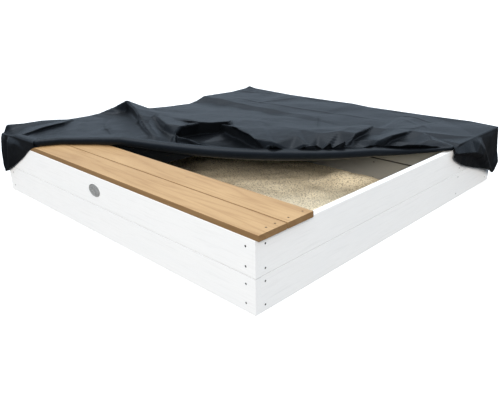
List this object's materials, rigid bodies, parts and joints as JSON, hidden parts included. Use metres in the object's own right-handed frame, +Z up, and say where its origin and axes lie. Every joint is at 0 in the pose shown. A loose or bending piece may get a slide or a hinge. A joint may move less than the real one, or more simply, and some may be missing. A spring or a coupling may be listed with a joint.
{
  "type": "sandbox with cover",
  "caption": "Low square timber sandbox with a plank bench, a hinged plank lid over a storage box, sand, and a sewn fabric cover folded back off one corner.",
  "frame": {"origin": "centre of the box's base, on the ground", "axes": "+Z up; +Y towards the storage box's hinges, away from the bench; +X towards the right as seen from the bench's side"},
  "size_m": [1.983, 2.007, 0.4134],
  "materials": {
    "white_wood": "satin",
    "oiled_wood": "satin",
    "cleat_wood": "matte",
    "dark_screws": "satin",
    "zinc_steel": "satin",
    "badge_metal": "satin",
    "sand": "matte",
    "ground_fabric": "matte",
    "cover_fabric": "matte"
  },
  "bodies": {
    "box": {"front_board_lower": "white_wood", "front_board_upper": "white_wood", "back_board_lower": "white_wood", "back_board_upper": "white_wood", "left_board_lower": "white_wood", "left_board_upper": "white_wood", "right_board_lower": "white_wood", "right_board_upper": "white_wood", "post_front_left": "white_wood", "post_front_right": "white_wood", "post_back_left": "white_wood", "post_back_right": "white_wood", "panel_board_lower": "white_wood", "panel_board_upper": "white_wood", "panel_batten_left": "white_wood", "panel_batten_right": "white_wood", "panel_stud_left": "white_wood", "panel_stud_right": "white_wood", "bench_plank_front": "oiled_wood", "bench_plank_rear": "oiled_wood", "bench_cleat_left": "cleat_wood", "bench_cleat_middle": "cleat_wood", "bench_cleat_right": "cleat_wood", "hinge_rail": "oiled_wood", "front_wall_screws": "dark_screws", "back_wall_screws": "dark_screws", "left_wall_screws": "dark_screws", "right_wall_screws": "dark_screws", "panel_screws": "dark_screws", "bench_screws": "dark_screws", "bench_cleat_screws": "dark_screws", "rail_screws": "dark_screws", "badge": "badge_metal", "ground_cloth": "ground_fabric", "sand_fill": "sand", "hinge_left_fixed_leaf": "zinc_steel", "hinge_middle_fixed_leaf": "zinc_steel", "hinge_right_fixed_leaf": "zinc_steel", "hinge_left_pin": "zinc_steel", "hinge_middle_pin": "zinc_steel", "hinge_right_pin": "zinc_steel", "rail_hinge_screws": "dark_screws"},
    "storage_lid": {"lid_plank_front": "oiled_wood", "lid_plank_middle": "oiled_wood", "lid_plank_rear": "oiled_wood", "lid_cleat_left": "cleat_wood", "lid_cleat_middle": "cleat_wood", "lid_cleat_right": "cleat_wood", "lid_cleat_screws": "dark_screws", "hinge_left_moving_leaf": "zinc_steel", "hinge_middle_moving_leaf": "zinc_steel", "hinge_right_moving_leaf": "zinc_steel", "lid_hinge_screws": "dark_screws"},
    "cover": {"cover_top": "cover_fabric", "cover_skirt_front": "cover_fabric", "cover_skirt_left": "cover_fabric", "cover_skirt_back": "cover_fabric", "cover_skirt_right": "cover_fabric"}
  },
  "joints": [
    {"name": "cover_lift", "type": "slide", "parent": "box", "child": "cover", "axis": [0, 0, 1], "range_m": [0, 0.8]},
    {"name": "lid_hinge", "type": "hinge", "parent": "box", "child": "storage_lid", "pos_m": [0, 0.9525, 0.3173], "axis": [-1, 0, 0], "range_deg": [0, 95]}
  ],
  "couplings": [
    {"joint": "lid_hinge", "follows": "cover_lift", "rad_per_m": 2.0725}
  ]
}
